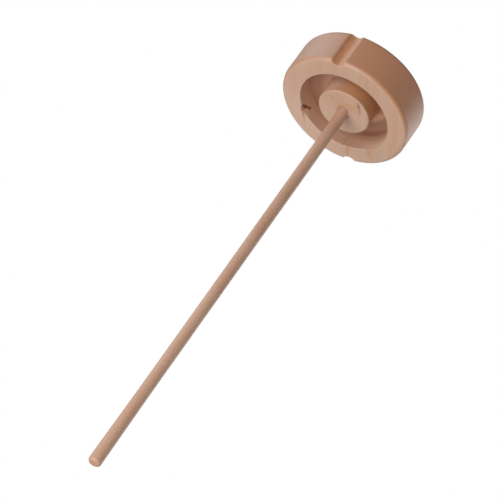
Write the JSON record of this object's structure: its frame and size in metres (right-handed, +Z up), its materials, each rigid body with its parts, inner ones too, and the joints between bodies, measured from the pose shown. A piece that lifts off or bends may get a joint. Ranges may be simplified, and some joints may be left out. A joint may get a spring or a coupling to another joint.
{
  "type": "drop spindle",
  "caption": "Top-whorl drop spindle for hand spinning: a recessed, notched wooden whorl on a dowel shaft, with a wire hook for the yarn.",
  "frame": {"origin": "inside of the hook's crown, on the spin axis, where the yarn bears when the spindle hangs", "axes": "+Z up along the spin axis from the shaft's tip to the hook; the rim's two notches are on +Y and -Y; the hook opens towards -X"},
  "size_m": [0.08, 0.0796, 0.325],
  "materials": {
    "whorl_wood": "satin",
    "shaft_wood": "satin",
    "hook_brass": "polished",
    "collar_brass": "polished"
  },
  "bodies": {
    "root": {"whorl": "whorl_wood", "shaft": "shaft_wood", "yarn_hook": "hook_brass", "hook_collar": "collar_brass"}
  },
  "joints": []
}
